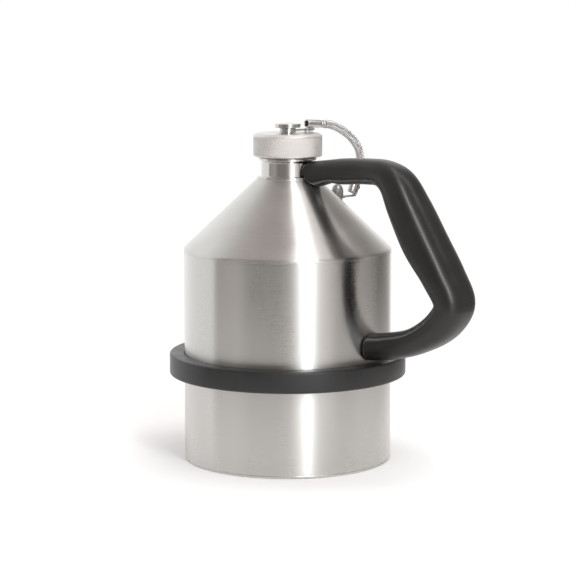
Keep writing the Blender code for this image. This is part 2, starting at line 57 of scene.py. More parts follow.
# ---- sizes shared with the CAD, millimetres ----
BODY_R, SHEET = 65.0, 0.8
BASE_TOP, BODY_TOP, SHOULDER_Z = 1.2, 131.5, 133.3
CONE_TOP_R, CONE_TOP_Z = 18.9, 177.2
CONE_SLOPE = (CONE_TOP_Z - SHOULDER_Z) / (BODY_R - CONE_TOP_R)
NECK_R, BORE_R, SPIGOT_R, SPIGOT_Z = 16.65, 14.6, 17.9, 174.5
COLLAR_Z = (177.6, 178.7)
FLANGE_R, FLANGE_Z, RIM_Z = 18.2, (187.4, 188.6, 190.0), 200.6
PITCH, TURNS, THREAD_START = 3.0, 2, 193.2
THREAD_CORE_R, NECK_CREST_R, CAP_INNER_R, CAP_CREST_R = 16.6, 17.8, 18.3, 17.0
CAP_R, CAP_Z, CEILING_Z, CAP_HOLE_R = 21.6, (190.5, 205.0), 202.9, 3.2
RING_R, RING_Z = (65.3, 74.4), (54.2, 67.5)
GAP = 0.3                       # clearance that neighbouring pieces keep

# Handle's centre line x and z, half thickness in its plane, half width across it.
HANDLE = (
    (12.0, 180.2, 7.6, 7.2), (22.5, 180.8, 8.0, 7.5), (33.0, 182.7, 7.4, 7.7), (43.0, 183.4, 8.0, 8.2),
    (61.5, 184.4, 7.9, 9.2), (73.7, 183.7, 8.2, 10.8), (82.9, 178.4, 9.9, 12.6), (91.6, 164.4, 11.4, 14.6),
    (103.6, 143.5, 12.2, 15.5), (116.9, 124.2, 10.7, 15.5), (124.6, 108.6, 10.0, 14.8),
    (117.4, 96.4, 10.0, 13.7), (98.5, 84.4, 8.5, 12.0), (78.0, 78.8, 8.3, 10.6), (58.0, 76.4, 8.2, 10.0),
)
HANDLE_SQUARENESS = 2.5
NECK_CUT_R, BODY_CUT_R = 17.1, 65.5
COLLAR_CUT, FLANGE_CUT = (19.22, 179.75), (18.7, 187.0)
UPPER_SADDLE = dict(r=(16.95, 19.0), z=(180.0, 185.4), half_y=4.6)
LOWER_SADDLE = dict(r=(65.3, 66.7), z=(71.0, 83.0), half_y=7.2)
UPPER_TANG = dict(x=(17.8, 41.0), half_y=3.8, z=(180.6, 183.4), screw_x=36.0, head_z=176.0)
LOWER_TANG = dict(x=(66.0, 88.0), half_y=4.8, z=(77.2, 80.2), screw_x=80.0, head_z=71.6)
LANYARD_ANGLE = radians(76.5)
HOSE_ROUTE = ((29.9, 209.37), (33.0, 209.1), (37.5, 207.9), (42.5, 205.9), (47.5, 203.2), (52.0, 200.0),
              (55.7, 196.3), (58.4, 192.2), (59.6, 188.2), (59.7, 184.4), (59.0, 181.1), (58.0, 178.47))
UPPER_FERRULE = ((15.1, 210.3), (29.4, 209.4))
LOWER_FERRULE = ((52.2, 164.8), (57.8, 178.0))
FERRULE_R, FERRULE_BORE_R, FERRULE_L = 2.65, 1.9, 14.3
EYE_R, EYE_Z = (3.2, 5.0), (205.4, 208.2)
STRIP_W, STRIP_T, STRIP_END_R = 3.6, 1.0, 20.4
ANCHOR_R, ANCHOR_BOSS_R, ANCHOR_TOP = 40.8, 3.3, 161.7

SCENE = bpy.context.scene


# ================================================================ camera

CAMERA_TURN = radians(37.5)     # round the jug, from straight in front of the handle's plane
CAMERA_TILT = 0.1457            # radians below level
CAMERA_DISTANCE = 1.297         # metres from the jug's axis
CAMERA_HEIGHT = 0.2979
FOCAL_RATIO = 2085.0 / 576.0    # focal length over the picture's width
SENSOR_MM = 36.0
CAMERA_SHIFT = 0.3 / 576.0
TO_CAMERA = Matrix.Rotation(CAMERA_TURN, 4, "Z")


def make_camera():
    data = bpy.data.cameras.new("camera")
    data.sensor_width = SENSOR_MM
    data.lens = FOCAL_RATIO * SENSOR_MM
    data.shift_x = CAMERA_SHIFT
    data.clip_start = 0.05
    data.clip_end = 60
    cam = bpy.data.objects.new("camera", data)
    SCENE.collection.objects.link(cam)
    place = TO_CAMERA @ Vector((0, -CAMERA_DISTANCE, CAMERA_HEIGHT))
    cam.matrix_world = Matrix.Translation(place) @ TO_CAMERA @ Matrix.Rotation(pi / 2 - CAMERA_TILT, 4, "X")
    SCENE.camera = cam


make_camera()


# ================================================================ mesh tools

def ring_points(profile, steps, shape=None):
    """Vertices of (radius, height) points turned about Z, and each point's row of vertex numbers.
    shape(r, z, angle) may change the radius round the ring."""
    verts, rows = [], []
    for r, z in profile:
        if r < 1e-6:
            rows.append([len(verts)] * steps)
            verts.append((0.0, 0.0, z))
            continue
        start = len(verts)
        for k in range(steps):
            a = tau * k / steps
            rr = r if shape is None else shape(r, z, a)
            verts.append((rr * cos(a), rr * sin(a), z))
        rows.append(list(range(start, start + steps)))
    return verts, rows


def lathe(profile, steps, closed=True, shape=None):
    """Profile turned about Z. A closed profile is a loop, an open one runs from axis to axis."""
    verts, rows = ring_points(profile, steps, shape)
    faces = []
    pairs = list(zip(rows[:-1], rows[1:]))
    if closed:
        pairs.append((rows[-1], rows[0]))
    for upper, lower in pairs:
        for k in range(steps):
            n = (k + 1) % steps
            corners = [upper[k], lower[k], lower[n], upper[n]]
            face = [c for i, c in enumerate(corners) if c not in corners[:i]]
            if len(face) > 2:
                faces.append(tuple(face))
    return verts, faces


def rounded(points, closed=True, count=4):
    """Round each (r, z, fillet) corner of a profile. A point with no third value stays sharp."""
    out = []
    n = len(points)
    for i, p in enumerate(points):
        fillet = p[2] if len(p) > 2 else 0
        if not fillet or (not closed and i in (0, n - 1)):
            out.append((p[0], p[1]))
            continue
        here = np.array(p[:2], float)
        back = np.array(points[i - 1][:2], float) - here
        ahead = np.array(points[(i + 1) % n][:2], float) - here
        a = here + back / np.linalg.norm(back) * min(fillet, 0.48 * np.linalg.norm(back))
        b = here + ahead / np.linalg.norm(ahead) * min(fillet, 0.48 * np.linalg.norm(ahead))
        for t in np.linspace(0, 1, count + 1):
            q = a * (1 - t) ** 2 + 2 * here * t * (1 - t) + b * t ** 2
            out.append((float(q[0]), float(q[1])))
    return out


def loft(sections, loop=False):
    """Skin over equal rings of points, capped at its ends or joined into a loop."""
    count = len(sections[0])
    verts = [tuple(p) for ring in sections for p in ring]
    faces = []
    rows = len(sections)
    for s in range(rows if loop else rows - 1):
        for i in range(count):
            j = (i + 1) % count
            a, b = s * count, (s + 1) % rows * count
            faces.append((a + i, a + j, b + j, b + i))
    if not loop:
        faces.append(tuple(reversed(range(count))))
        faces.append(tuple(range((rows - 1) * count, rows * count)))
    return verts, faces


def helix(r_root, r_crest, z_start, per_turn=96):
    """One right-handed thread ridge whose ends fade into the wall."""
    steps, fade = per_turn * TURNS, per_turn // 6
    root = r_root + (0.4 if r_crest < r_root else -0.4)
    sections = []
    for k in range(steps + 1):
        rise = min(1.0, min(k, steps - k) / fade)
        crest = root + (r_crest - root) * (0.2 + 0.8 * rise)
        a = tau * k / per_turn
        z = z_start + PITCH * k / per_turn
        soft = 0.08 if r_crest > r_root else -0.08
        flank = [(root, 0.65), (crest - soft, 0.36), (crest, 0.24), (crest, -0.24),
                 (crest - soft, -0.36), (root, -0.65)]
        sections.append([(r * cos(a), r * sin(a), z + dz) for r, dz in flank])
    return loft(sections)


def tube_along(points, frames, radius, sides):
    """Round wire along points; frames are (side, up) unit vectors at each point."""
    sections = []
    for p, (side, up) in zip(points, frames):
        ring = []
        for k in range(sides):
            a = tau * k / sides
            ring.append(tuple(p + side * (radius * cos(a)) + up * (radius * sin(a))))
        sections.append(ring)
    return loft(sections)


def piece(name, shapes, mats, angle=38):
    """One object from several (verts, faces, material index) shapes, all in millimetres."""
    verts, faces, index = [], [], []
    for shape in shapes:
        v, f = shape[0], shape[1]
        base = len(verts)
        verts.extend(v)
        faces.extend(tuple(i + base for i in face) for face in f)
        index.extend([shape[2] if len(shape) > 2 else 0] * len(f))
    mesh = bpy.data.meshes.new(name)
    mesh.from_pydata([(x * MM, y * MM, z * MM) for x, y, z in verts], [], faces)
    mesh.polygons.foreach_set("material_index", index)
    work = bmesh.new()
    work.from_mesh(mesh)
    bmesh.ops.recalc_face_normals(work, faces=work.faces)
    work.to_mesh(mesh)
    work.free()
    for mat in mats:
        mesh.materials.append(mat)
    mesh.shade_smooth()
    mesh.set_sharp_from_angle(angle=radians(angle))
    obj = bpy.data.objects.new(name, mesh)
    SCENE.collection.objects.link(obj)
    return obj


def moved(shape, place):
    """The same shape placed by a matrix written in millimetres."""
    return [tuple(place @ Vector(p)) for p in shape[0]], shape[1], *shape[2:]


def settle(obj, body, slot, *nodes):
    """Put a piece on its body and hide the CAD nodes that it stands for; slot, its finish's name, is not
    used.
    """
    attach(obj, body)
    if nodes:
        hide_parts(*nodes)


def smooth_path(points, per_span):
    """Centripetal Catmull-Rom curve through given points of any dimension."""
    pts = np.array(points, dtype=float)
    pts = np.vstack([2 * pts[0] - pts[1], pts, 2 * pts[-1] - pts[-2]])
    path = []
    for k in range(1, len(pts) - 2):
        p = pts[k - 1:k + 3]
        knots = [0.0]
        for i in range(3):
            knots.append(knots[-1] + np.linalg.norm(p[i + 1] - p[i]) ** 0.5)
        for t in np.linspace(knots[1], knots[2], per_span, endpoint=False):
            level = [p[i] for i in range(4)]
            for order in (1, 2, 3):
                level = [pyramid(level[i], level[i + 1], knots, i, order, t) for i in range(4 - order)]
            path.append(level[0])
    path.append(pts[-2])
    return np.array(path)


def pyramid(low, high, knots, i, order, t):
    """One step of the Catmull-Rom curve: low and high mixed by where t lies between their knots."""
    start, end = (knots[1], knots[2]) if order == 3 else (knots[i], knots[i + order])
    return low * (end - t) / (end - start) + high * (t - start) / (end - start)


def cone_z(r):
    """Height of the shoulder's outer face."""
    return CONE_TOP_Z - (r - CONE_TOP_R) * CONE_SLOPE


def in_lanyard_plane(r, z, across=0.0):
    """Point at radius r and height z in the lanyard's upright plane, or off it by across."""
    c, s = cos(LANYARD_ANGLE), sin(LANYARD_ANGLE)
    return Vector((r * c - across * s, r * s + across * c, z))


LANYARD_TURN = Matrix.Rotation(LANYARD_ANGLE, 4, "Z")


def along(start, end):
    """Placement that takes Z to the line from start to end, both (r, z) in the lanyard's plane."""
    lean = atan2(end[0] - start[0], end[1] - start[1])
    return LANYARD_TURN @ Matrix.Translation((start[0], 0.0, start[1])) @ Matrix.Rotation(lean, 4, "Y")


ANCHOR_PLACE = Matrix.Translation(in_lanyard_plane(ANCHOR_R, 0))


# ================================================================ materials

MIX_A, MIX_B, MIX_RESULT = 6, 7, 2      # the Mix node's colour sockets


def math_node(tree, operation, *values):
    """Math node on numbers or other nodes' outputs; its result socket."""
    node = tree.nodes.new("ShaderNodeMath")
    node.operation = operation
    for socket, value in zip(node.inputs, values):
        if isinstance(value, (int, float)):
            socket.default_value = value
        else:
            tree.links.new(value, socket)
    return node.outputs["Value"]


def range_node(tree, value, start, end, low, high):
    """Map Range node that takes start to low and end to high; its result socket."""
    node = tree.nodes.new("ShaderNodeMapRange")
    for socket, number in zip(("From Min", "From Max", "To Min", "To Max"), (start, end, low, high)):
        node.inputs[socket].default_value = number
    tree.links.new(value, node.inputs["Value"])
    return node.outputs["Result"]


class Nodes:
    """Short names for building one material's node tree."""

    def __init__(self, name, colour, rough, metallic):
        self.mat = bpy.data.materials.new(name)
        self.mat.use_nodes = True
        self.mat.diffuse_color = (*colour, 1)
        self.tree = self.mat.node_tree
        self.shader = self.tree.nodes["Principled BSDF"]
        self.colour = colour
        self.set("Base Color", (*colour, 1))
        self.set("Roughness", rough)
        self.set("Metallic", metallic)
        self.coords = self.tree.nodes.new("ShaderNodeTexCoord").outputs["Object"]

    def set(self, socket, value):
        self.shader.inputs[socket].default_value = value

    def link(self, a, b):
        self.tree.links.new(a, b)

    def noise(self, scale, detail=3.0, rough=0.5, distortion=0.0):
        """Noise in object space; scale is per metre, one number or one for each axis."""
        mapping = self.tree.nodes.new("ShaderNodeMapping")
        mapping.inputs["Scale"].default_value = scale if isinstance(scale, tuple) else (scale,) * 3
        self.link(self.coords, mapping.inputs["Vector"])
        tex = self.tree.nodes.new("ShaderNodeTexNoise")
        tex.inputs["Scale"].default_value = 1.0
        tex.inputs["Detail"].default_value = detail
        tex.inputs["Roughness"].default_value = rough
        tex.inputs["Distortion"].default_value = distortion
        self.link(mapping.outputs["Vector"], tex.inputs["Vector"])
        return tex.outputs["Fac"]

    def remap(self, value, low, high, start=0.3, end=0.7):
        return range_node(self.tree, value, start, end, low, high)

    def weigh(self, first, second, share):
        """The two values added, the second one with this share and the first with the rest."""
        parts = [math_node(self.tree, "MULTIPLY", value, part)
                 for value, part in ((first, 1 - share), (second, share))]
        return math_node(self.tree, "ADD", *parts)

    def mix(self, factor, low, high):
        node = self.tree.nodes.new("ShaderNodeMix")
        node.data_type = "RGBA"
        self.link(factor, node.inputs["Factor"])
        node.inputs[MIX_A].default_value = (*low, 1)
        node.inputs[MIX_B].default_value = (*high, 1)
        return node.outputs[MIX_RESULT]

    def tint(self, factor, spread):
        """Base colour that goes from darker to lighter by a share of itself."""
        low = [c * (1 - spread) for c in self.colour]
        high = [min(1.0, c * (1 + spread)) for c in self.colour]
        self.link(self.mix(factor, low, high), self.shader.inputs["Base Color"])

    def bump(self, height, strength, distance_mm):
        node = self.tree.nodes.new("ShaderNodeBump")
        node.inputs["Strength"].default_value = strength
        node.inputs["Distance"].default_value = distance_mm * MM
        self.link(height, node.inputs["Height"])
        self.link(node.outputs["Normal"], self.shader.inputs["Normal"])

    def radial_tangent(self, amount):
        """Grain that runs round Z: highlights stretch across it."""
        node = self.tree.nodes.new("ShaderNodeTangent")
        node.direction_type = "RADIAL"
        node.axis = "Z"
        self.set("Anisotropic", amount)
        self.set("Anisotropic Rotation", 0.25)
        self.link(node.outputs["Tangent"], self.shader.inputs["Tangent"])


def steel(name, colour, rough, grain, aniso=0.0, spread=0.05, vary=0.05, bump=0.12, depth=0.02,
          patch=28.0, patchy=0.3):
    """Stainless steel with streaked grain; grain is its frequency per metre along x, y and z.
    patch is the frequency of its broad uneven areas and patchy their share of the variation."""
    n = Nodes(name, colour, rough, 1.0)
    fine = n.noise(grain, 4.0, 0.6)
    broad = n.noise(patch, 2.0, 0.5)
    blend = n.weigh(fine, broad, patchy)
    n.tint(n.remap(blend, 0, 1), spread)
    n.link(n.remap(blend, rough - vary, rough + vary), n.shader.inputs["Roughness"])
    n.bump(fine, bump, depth)
    if aniso:
        n.radial_tangent(aniso)
    return n.mat


BRUSHED = steel("brushed_steel", (0.645, 0.635, 0.615), 0.28, (5, 5, 4200), aniso=0.9, spread=0.045,
                vary=0.03, bump=0.008, patch=(34, 34, 12), patchy=0.78)
BRUSHED_CONE = steel("brushed_steel_shoulder", (0.645, 0.635, 0.615), 0.34, (14, 14, 1500), aniso=0.85,
                     spread=0.10, vary=0.06, bump=0.03, patch=48.0, patchy=0.8)
BASE_STEEL = steel("base_steel", (0.62, 0.60, 0.58), 0.36, (900, 900, 900), spread=0.04)
TURNED = steel("turned_steel", (0.70, 0.685, 0.665), 0.13, (18, 18, 5200), aniso=0.45, spread=0.03,
               vary=0.03, bump=0.06, depth=0.01)
PLAIN = steel("plain_steel", (0.62, 0.61, 0.595), 0.24, (700, 700, 700), spread=0.06, vary=0.06)
CRIMPED = steel("crimped_steel", (0.66, 0.65, 0.635), 0.30, (500, 500, 500), spread=0.07, vary=0.07,
                bump=0.2, depth=0.03)
# Near-black steel: painted shade, for the dark wedge of shade beside the lower sleeve.
PAINTED_SHADE_STEEL = steel("painted_shade_steel", (0.10, 0.098, 0.095), 0.36, (700, 700, 700), spread=0.08, vary=0.05)
# Darker steel, on the anchor nut and on the lower eye; on the eye its darkness is painted shade for the dark
# wedge beside the lower sleeve.
DULL_SHADE_STEEL = steel("dull_shade_steel", (0.36, 0.35, 0.345), 0.38, (700, 700, 700), spread=0.06, vary=0.06)
KNURLED = steel("knurled_steel", (0.84, 0.82, 0.80), 0.52, (1500, 1500, 1500), spread=0.08, vary=0.05,
                bump=0.25, depth=0.03)
CAP_TOP = steel("cap_top_steel", (0.74, 0.73, 0.715), 0.34, (1200, 1200, 1200), aniso=0.5, spread=0.04)
WELD = steel("weld_steel", (0.60, 0.585, 0.565), 0.26, (900, 900, 900), spread=0.10, vary=0.08, bump=0.3,
             depth=0.04)
BRAID = steel("braid_steel", (0.95, 0.94, 0.925), 0.36, (1800, 1800, 1800), spread=0.10, vary=0.06)
# The hose's core; its near-black colour is partly painted shade for the gaps between the braid's wires.
HOSE_CORE_SHADE = steel("hose_core_shade_steel", (0.07, 0.068, 0.066), 0.55, (1500, 1500, 1500), spread=0.15)


def black_plastic(name, colour, rough, fine, vary, bump):
    """Moulded black plastic or rubber: fine sparkle texture, soft handling marks, paler on sharp edges."""
    n = Nodes(name, colour, rough, 0.0)
    grain = n.noise(fine, 3.0, 0.6)
    marks = n.noise(34.0, 4.0, 0.62, 0.6)
    edge = n.tree.nodes.new("ShaderNodeNewGeometry").outputs["Pointiness"]
    sharp_edge_tone = n.remap(edge, 0.0, 1.0, 0.52, 0.60)
    base = n.weigh(n.remap(marks, 0, 1), sharp_edge_tone, 0.45)
    n.link(n.mix(base, [c * 0.8 for c in colour], [c * 1.5 for c in colour]), n.shader.inputs["Base Color"])
    n.link(n.remap(marks, rough - vary, rough + vary), n.shader.inputs["Roughness"])
    n.bump(grain, bump, 0.03)
    n.set("IOR", 1.5)
    return n.mat


PLASTIC = black_plastic("satin_black_plastic", (0.018, 0.0175, 0.017), 0.33, 2400.0, 0.05, 0.10)
RUBBER = black_plastic("black_rubber", (0.020, 0.020, 0.020), 0.36, 1900.0, 0.06, 0.14)
SEAL = black_plastic("seal_polymer", (0.62, 0.61, 0.57), 0.50, 1500.0, 0.05, 0.10)


# ================================================================ lanyard hose, the one cord

HOSE_STEP = 0.5
HOSE_TUCK = (0.5, 0.45)         # how far it runs on towards the lower and the upper ferrule
CORE_R = 2.06
CARRIERS, WIRES = 9, 2          # carriers that wind each way, and wires side by side in one
WIRE_R = 0.19
BRAID_R = 2.45
BRAID_LEAD = 13.0               # length of one turn of a carrier
WEAVE = 0.20                    # how far a carrier goes over and under the ones it crosses


def hose_centres():
    """Distances and centres along the hose, from the lower ferrule's end up to the upper one's."""
    fine = smooth_path(list(reversed(HOSE_ROUTE)), 24)
    start_run = np.array(LOWER_FERRULE[1]) - np.array(LOWER_FERRULE[0])
    end_run = np.array(UPPER_FERRULE[0]) - np.array(UPPER_FERRULE[1])
    first = fine[0] - start_run / np.linalg.norm(start_run) * HOSE_TUCK[0]
    last = fine[-1] + end_run / np.linalg.norm(end_run) * HOSE_TUCK[1]
    fine = np.vstack([first, fine, last])
    steps = np.linalg.norm(np.diff(fine, axis=0), axis=1)
    run = np.concatenate([[0], np.cumsum(steps)])
    count = int(round(run[-1] / HOSE_STEP)) + 1
    at = np.linspace(0, run[-1], count)
    return at, np.stack([np.interp(at, run, fine[:, k]) for k in (0, 1)], axis=1)


def make_hose():
    """Braided steel hose: a core tube with carriers of thin wires woven round it both ways."""
    at, centres = hose_centres()
    across = in_lanyard_plane(0, 0, 1.0)
    tangents = np.gradient(centres, axis=0)
    tangents /= np.linalg.norm(tangents, axis=1)[:, None]
    points = [in_lanyard_plane(r, z) for r, z in centres]
    forward = [in_lanyard_plane(t[0], t[1]) for t in tangents]
    normals = [across.cross(f).normalized() for f in forward]
    shapes = [(*tube_along(points, [(across, n) for n in normals], CORE_R, 28), 1)]
    wire_angle = 2 * WIRE_R / BRAID_R / cos(pi / 4)
    for way in (1, -1):
        for k in range(CARRIERS):
            for w in range(WIRES):
                shift = (w - (WIRES - 1) / 2) * wire_angle
                path, around = [], []
                for s, p, n, f in zip(at, points, normals, forward):
                    turn = tau * k / CARRIERS + way * tau * s / BRAID_LEAD
                    crossing = turn + way * tau * s / BRAID_LEAD
                    r = BRAID_R + way * WEAVE * cos(CARRIERS / 2 * crossing + k * pi)
                    out = across * cos(turn + shift) + n * sin(turn + shift)
                    path.append(p + out * r)
                    around.append((f, out))
                shapes.append((*tube_along(path, around, WIRE_R, 5), 0))
    # The core's near-black colour shows through the braid's gaps as painted shade.
    hose = piece("lanyard_hose", shapes, [BRAID, HOSE_CORE_SHADE], angle=80)
    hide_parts("lanyard_braid")
    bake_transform(hose)


make_hose()


# ================================================================ vessel

BASE_DISH_R, BASE_DISH = 57.6, 0.35     # the base is raised a little inside its rim


def ripple_ring(r, z, width, height, lean, ripples, depth, sides=10):
    """Weld bead round Z. Its section is an ellipse: width along the seam's slope, height square to it.
    Each ripple makes it thicker and thinner again by depth."""
    per = 6
    along_slope = Vector((sin(lean), cos(lean)))
    out = Vector((cos(lean), -sin(lean)))
    sections = []
    for k in range(ripples * per):
        a = tau * k / (ripples * per)
        swell = 1 + depth * sin(tau * k / per)
        ring = []
        for j in range(sides):
            b = tau * j / sides
            q = along_slope * (width / 2 * cos(b)) + out * (height * swell * sin(b))
            ring.append(((r + q.x) * cos(a), (r + q.x) * sin(a), z + q.y))
        sections.append(ring)
    return loft(sections, loop=True)


def make_vessel():
    corner = [(BODY_R, BASE_TOP, 0.15), (BODY_R, 0, 1.3), (BASE_DISH_R + 0.9, 0, 0.4),
              (BASE_DISH_R, BASE_DISH, 0.4), (0, BASE_DISH)]
    base = lathe(rounded([(0, BASE_TOP)] + corner, closed=False, count=6), 256, closed=False)
    settle(piece("vessel_base", [base], [BASE_STEEL]), ROOT, "brushed_stainless", "base_plate")

    low = BASE_TOP + GAP
    inner = BODY_R - SHEET
    wall = [(BODY_R, BODY_TOP, 0.1)] + [(BODY_R, z) for z in np.linspace(BODY_TOP - 2, low + 2, 20)]
    wall += [(BODY_R, low, 0.1), (inner, low, 0.1)]
    wall += [(inner, z) for z in np.linspace(low + 2, BODY_TOP - 2, 8)] + [(inner, BODY_TOP, 0.1)]
    settle(piece("vessel_wall", [lathe(rounded(wall), 256)], [BRUSHED]), ROOT, "brushed_stainless",
           "body_shell")

    lip = BODY_TOP + GAP
    hole = CONE_TOP_R - GAP
    drop = SHEET * (1 + CONE_SLOPE ** 2) ** 0.5
    slope = [(r, cone_z(r)) for r in np.linspace(hole + 0.6, BODY_R - 2.4, 16)]
    cone = [(hole, cone_z(hole), 0.1)] + slope
    cone += [(BODY_R, SHOULDER_Z, 1.7), (BODY_R, lip, 0.1), (inner, lip, 0.1), (inner, SHOULDER_Z - 0.4, 1.2)]
    cone += [(hole, cone_z(hole) - drop, 0.1)]
    settle(piece("vessel_shoulder", [lathe(rounded(cone, count=6), 256)], [BRUSHED_CONE]), ROOT,
           "brushed_stainless", "shoulder_cone")

    beads = [
        ripple_ring(BODY_R - 0.13, BASE_TOP + GAP / 2, 0.9, 0.22, 0.0, 150, 0.05),
        ripple_ring(BODY_R - 0.14, BODY_TOP + GAP / 2, 1.0, 0.17, 0.0, 150, 0.03),
    ]
    settle(piece("vessel_seam_beads", beads, [WELD], angle=180), ROOT, "brushed_stainless")
    collar = ripple_ring(CONE_TOP_R - 0.25, CONE_TOP_Z + 0.12, 1.3, 0.34, radians(-45), 64, 0.04)
    settle(piece("collar_weld_bead", [collar], [WELD], angle=180), ROOT, "turned_stainless")


make_vessel()


def make_neck():
    profile = [
        (THREAD_CORE_R, RIM_Z, 0.5),
        (THREAD_CORE_R, FLANGE_Z[2], 0.15),
        (FLANGE_R, FLANGE_Z[2], 0.35),
        (FLANGE_R, FLANGE_Z[1], 0.25),
        (NECK_R, FLANGE_Z[0], 0.4),
        (NECK_R, COLLAR_Z[1], 0.6),
        (CONE_TOP_R, COLLAR_Z[1], 0.6),
        (CONE_TOP_R, COLLAR_Z[0], 0.1),
        (SPIGOT_R, COLLAR_Z[0], 0.1),
        (SPIGOT_R, SPIGOT_Z, 0.2),
        (BORE_R, SPIGOT_Z, 0.2),
        (BORE_R, RIM_Z, 0.4),
    ]
    neck = [lathe(rounded(profile, count=5), 192), helix(THREAD_CORE_R, NECK_CREST_R, THREAD_START)]
    settle(piece("neck", neck, [TURNED]), ROOT, "turned_stainless", "neck_spigot")


def make_bumper():
    r_in, r_out = RING_R
    low, high = RING_Z
    profile = [(r_out, high, 1.5), (r_out, (low + high) / 2), (r_out, low, 1.5),
               (r_in, low, 0.5), (r_in, high, 0.5)]
    ring = lathe(rounded(profile, count=7), 256)
    settle(piece("rubber_bumper", [ring], [RUBBER]), ROOT, "black_rubber", "bumper_ring")


make_neck()
make_bumper()


# ================================================================ handle

SCREW_WELL_R = (2.2, 3.6)       # round a screw's shank and round its head
SCREW_SEAT = 3.0                # from the screw's head up to where it bears
SKIN_VOXEL = 0.55


def handle_rings(per_span, sides):
    """The moulding's body before it is cut: rounded-square rings along its centre line."""
    path = smooth_path(HANDLE, per_span)
    power = 2 / HANDLE_SQUARENESS
    sections = []
    for k, (x, z, thick, wide) in enumerate(path):
        ahead, behind = path[min(k + 1, len(path) - 1)], path[max(k - 1, 0)]
        tangent = Vector((ahead[0] - behind[0], 0, ahead[1] - behind[1])).normalized()
        normal = Vector((-tangent.z, 0, tangent.x))
        ring = []
        for a in np.linspace(0, tau, sides, endpoint=False):
            u = thick * abs(cos(a)) ** power * (1 if cos(a) >= 0 else -1)
            v = wide * abs(sin(a)) ** power * (1 if sin(a) >= 0 else -1)
            ring.append(tuple(Vector((x, v, z)) + normal * u))
        sections.append(ring)
    return loft(sections)


def box_shape(x, y, z):
    corners = [(a, b, c) for a in x for b in y for c in z]
    faces = [(0, 1, 3, 2), (4, 6, 7, 5), (0, 4, 5, 1), (2, 3, 7, 6), (0, 2, 6, 4), (1, 5, 7, 3)]
    return corners, faces


def well(tang):
    """Stepped hole from the handle's underside up to its tang slot."""
    top, seat, low = tang["z"][0] + 0.5, tang["head_z"] + SCREW_SEAT, tang["head_z"] - 14
    narrow, wide = SCREW_WELL_R
    profile = [(0, top), (narrow, top), (narrow, seat), (wide, seat), (wide, low), (0, low)]
    return moved(lathe(profile, 48, closed=False), Matrix.Translation((tang["screw_x"], 0, 0)))


def slot_shape(tang):
    x, z, half = tang["x"], tang["z"], tang["half_y"] + GAP
    return box_shape((x[0] - 6, x[1] + GAP), (-half, half), (z[0] - GAP, z[1] + GAP))


def pocket_shape(saddle):
    """Recess in the handle's end for a bracket's saddle."""
    r_out, half, z = saddle["r"][1] + GAP, saddle["half_y"] + GAP, saddle["z"]
    return box_shape((saddle["r"][0] - 8, r_out), (-half, half), (z[0] - GAP, z[1] + GAP))


def cylinder_shape(r, low, high, steps):
    return lathe([(0, high), (r, high), (r, low), (0, low)], steps, closed=False)


def handle_cutters():
    """Clearances for the neck, collar, flange, body and shoulder, and the hidden fixings' spaces.
    Step counts differ, and the body's is turned a little, so that no two have edges in one place."""
    rise = 0.5 * (1 + CONE_SLOPE ** 2) ** 0.5
    reach = 64
    floor = cone_z(reach) - 20
    relief = [(0, cone_z(0) + rise), (reach, cone_z(reach) + rise), (reach, floor), (0, floor)]
    return [
        cylinder_shape(NECK_CUT_R, 165, 200, 192),
        cylinder_shape(COLLAR_CUT[0], 165, COLLAR_CUT[1], 190),
        cylinder_shape(FLANGE_CUT[0], FLANGE_CUT[1], 200, 188),
        moved(cylinder_shape(BODY_CUT_R, 55, 100, 256), Matrix.Rotation(radians(0.4), 4, "Z")),
        pocket_shape(UPPER_SADDLE),
        pocket_shape(LOWER_SADDLE),
        lathe(relief, 256, closed=False),
        slot_shape(UPPER_TANG),
        slot_shape(LOWER_TANG),
        well(UPPER_TANG),
        well(LOWER_TANG),
    ]


def make_handle():
    """Cut the moulding, then skin it anew so that every edge is softly rounded."""
    handle = piece("handle_moulding", [handle_rings(8, 56)], [PLASTIC])
    scratch = []
    for k, shape in enumerate(handle_cutters()):
        cutter = piece(f"cutter_{k}", [shape], [])
        step = handle.modifiers.new(f"cut_{k}", "BOOLEAN")
        step.operation = "DIFFERENCE"
        step.solver = "EXACT"
        step.object = cutter
        scratch.append(cutter)
    remesh = handle.modifiers.new("skin", "REMESH")
    remesh.mode = "VOXEL"
    remesh.voxel_size = SKIN_VOXEL * MM
    soften = handle.modifiers.new("soften", "SMOOTH")
    soften.factor = 0.5
    soften.iterations = 10
    graph = bpy.context.evaluated_depsgraph_get()
    mesh = bpy.data.meshes.new_from_object(handle.evaluated_get(graph))
    handle.modifiers.clear()
    handle.data = mesh
    mesh.name = "handle_moulding"
    mesh.shade_smooth()
    for cutter in scratch:
        bpy.data.objects.remove(cutter, do_unlink=True)
    settle(handle, ROOT, "black_plastic", "handle_grip")


make_handle()


# ================================================================ cap and relief valve

CAP_TOP_EDGE, CAP_FOOT_EDGE = (2.0, 1.5), (0.9, 0.8)    # each chamfer's width and height
KNURL_TEETH = 96
KNURL_DEPTH = 0.45
KNURL_Z = (191.7, 203.0)
KNURL_CLIMB = 1.45              # height in which a groove moves on by one tooth

BUSH_R, BUSH_BORE_R, BUSH_FLANGE_R = 2.9, 1.9, 5.2
BUSH_Z = (200.6, 202.6, 208.2)  # foot, top of its flange, top
STEM_R, STEM_FOOT_Z = 1.5, 190.8
HEAD_R, HEAD_Z = 8.1, (208.5, 211.0)
SPRING_R, SPRING_WIRE, SPRING_COILS = 3.0, 0.4, 4
SPRING_Z = (193.9, 199.9)


